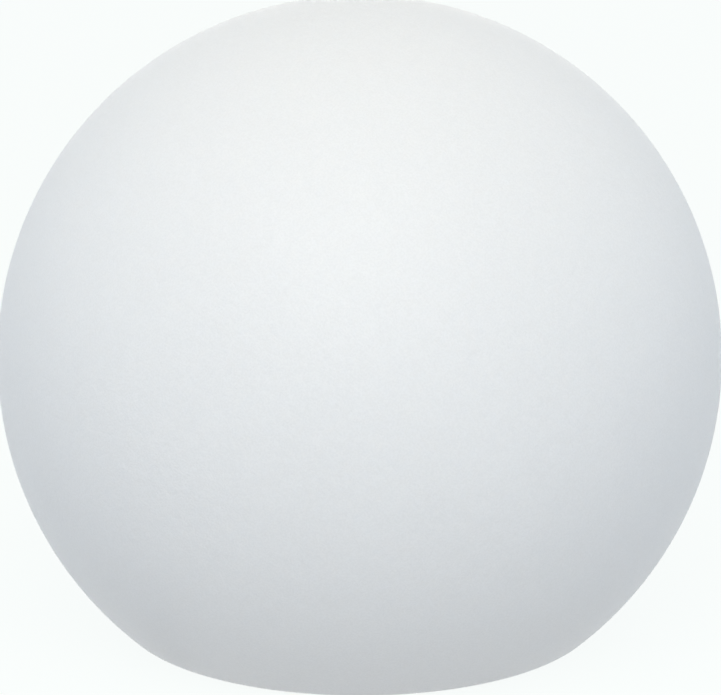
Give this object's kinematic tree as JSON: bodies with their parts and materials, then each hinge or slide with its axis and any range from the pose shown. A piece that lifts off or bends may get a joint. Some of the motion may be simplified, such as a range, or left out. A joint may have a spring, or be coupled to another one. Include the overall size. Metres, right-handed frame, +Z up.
{
  "type": "floating solar light",
  "caption": "Opal globe with a flat foot that floats or stands; it lifts off a sealed solar light engine held by a bayonet ring.",
  "frame": {"origin": "on the floor plane, below the middle of the globe", "axes": "+Z up along the globe's axis; the battery door faces -Y, the mooring pocket lies towards +Y"},
  "size_m": [0.3, 0.3, 0.264],
  "materials": {
    "opal_skin": "satin, translucent",
    "collar_plastic": "fine grain",
    "lock_plastic": "fine grain",
    "base_plastic": "fine grain",
    "seal_rubber": "matt",
    "button_rubber": "matt",
    "pin_steel": "drawn",
    "screw_steel": "plated",
    "housing_plastic": "fine grain",
    "door_plastic": "fine grain",
    "board_green": "solder mask",
    "chip_black": "matt",
    "capacitor_sleeve": "shrink sleeve",
    "ferrite": "sintered",
    "switch_black": "matt",
    "plunger_plastic": "plain",
    "holder_black": "fine grain",
    "cell_sleeve": "shrink sleeve",
    "contact_metal": "nickel plated",
    "frame_plastic": "plain",
    "lamp_board": "white solder mask",
    "led_phosphor": "resin over phosphor",
    "lens_clear": "clear moulded plastic",
    "foam": "foam",
    "panel_backing": "laminate",
    "silicon": "cells under resin",
    "window_clear": "clear resin",
    "bezel_plastic": "plain",
    "lead_red": "insulation",
    "lead_black": "insulation"
  },
  "bodies": {
    "base": {"base_plate": "base_plastic", "seal_ring": "seal_rubber", "mooring_pin": "pin_steel", "power_switch": "switch_black", "circuit_board": "board_green", "driver_chip": "chip_black", "storage_capacitor": "capacitor_sleeve", "boost_inductor": "ferrite", "board_screws": "screw_steel", "housing_screws": "screw_steel", "engine_housing": "housing_plastic", "door_pin": "pin_steel", "battery_holder": "holder_black", "battery_cell_1": "cell_sleeve", "battery_cell_2": "cell_sleeve", "battery_cell_3": "cell_sleeve", "contact_leaves": "contact_metal", "contact_plates": "contact_metal", "panel_frame": "frame_plastic", "led_board": "lamp_board", "leds": "led_phosphor", "lens_ring": "lens_clear", "panel_gasket": "foam", "solar_backing": "panel_backing", "solar_cells": "silicon", "solar_window": "window_clear", "panel_bezel": "bezel_plastic", "panel_lead_red": "lead_red", "panel_lead_black": "lead_black", "battery_lead_red": "lead_red", "battery_lead_black": "lead_black", "led_lead_red": "lead_red", "led_lead_black": "lead_black"},
    "globe": {"globe_shell": "opal_skin", "neck_collar": "collar_plastic"},
    "lock_ring": {"lock_ring": "lock_plastic"},
    "power_button": {"power_button": "button_rubber", "button_seal": "seal_rubber", "switch_plunger": "plunger_plastic"},
    "battery_door": {"battery_door": "door_plastic"}
  },
  "joints": [
    {"name": "globe_lift", "type": "slide", "parent": "base", "child": "globe", "axis": [0, 0, 1], "range_m": [0, 0.14]},
    {"name": "lock_ring_turn", "type": "hinge", "parent": "base", "child": "lock_ring", "pos_m": [0, 0, 0], "axis": [0, 0, 1], "range_deg": [0, 45]},
    {"name": "battery_door_swing", "type": "hinge", "parent": "base", "child": "battery_door", "pos_m": [-0.0253, -0.03673, 0.05], "axis": [0, 0, -1], "range_deg": [0, 110]},
    {"name": "power_button_press", "type": "slide", "parent": "base", "child": "power_button", "axis": [0, 0, 1], "range_m": [0, 0.0018], "stiffness_N_per_m": 400, "springref_m": -0.003}
  ]
}
